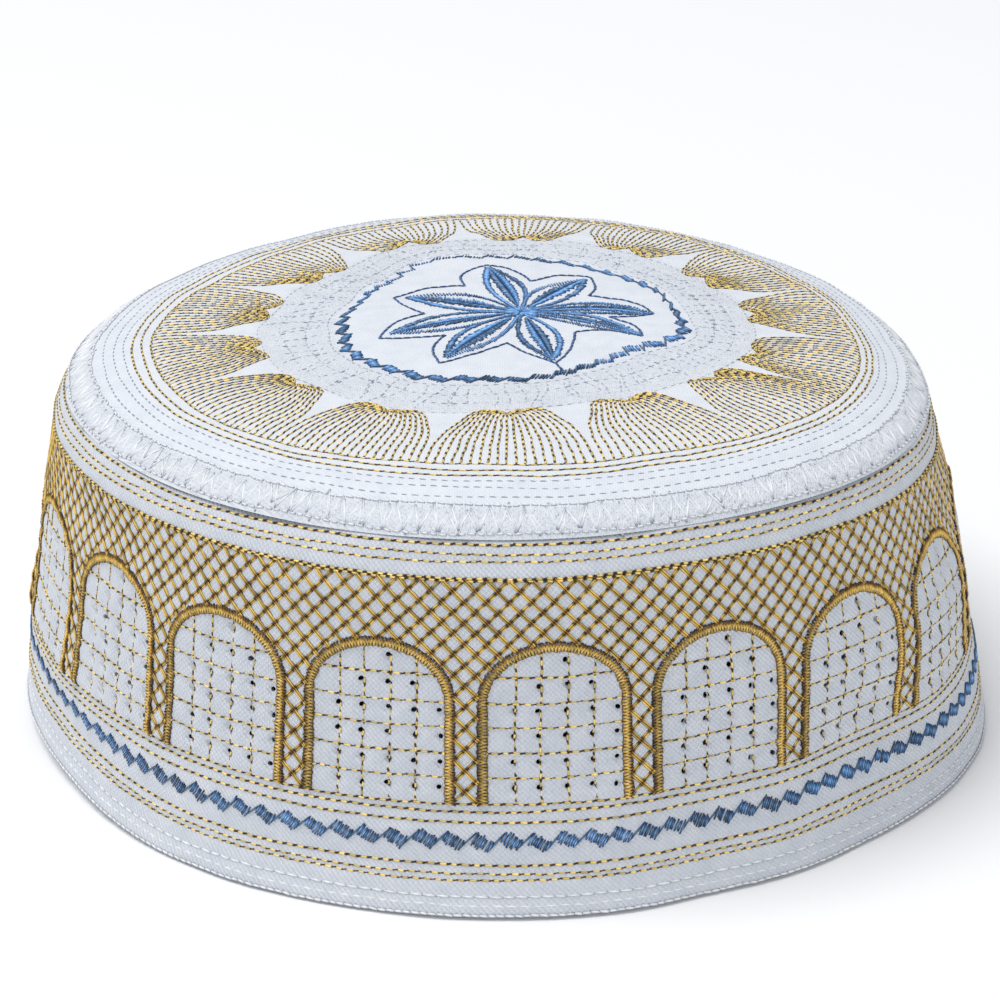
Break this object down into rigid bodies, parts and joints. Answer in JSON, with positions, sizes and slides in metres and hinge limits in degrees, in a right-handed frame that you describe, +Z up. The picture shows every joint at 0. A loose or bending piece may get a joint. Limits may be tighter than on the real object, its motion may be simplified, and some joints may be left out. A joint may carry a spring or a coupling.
{
  "type": "kufi",
  "caption": "Soft round kufi cap with a quilted flat crown, a flared embroidered and pierced band, and an open head hollow below.",
  "frame": {"origin": "on the surface the cap stands on, under the middle of its bounding box", "axes": "+Z up through the crown, -Y towards the front of the cap, +X towards the right of the view from the front"},
  "size_m": [0.1894, 0.1892, 0.0768],
  "materials": {
    "quilted_cotton": "matt quilted white cotton",
    "cotton_twill": "white cotton twill with a soft sheen",
    "facing_cotton": "plain matt white cotton",
    "gold_thread": "glossy gold rayon embroidery thread",
    "blue_thread": "glossy shaded blue rayon embroidery thread",
    "white_thread": "white cotton sewing thread"
  },
  "bodies": {
    "root": {"crown_top": "quilted_cotton", "side_band": "cotton_twill", "rim_facing": "facing_cotton"}
  },
  "joints": []
}
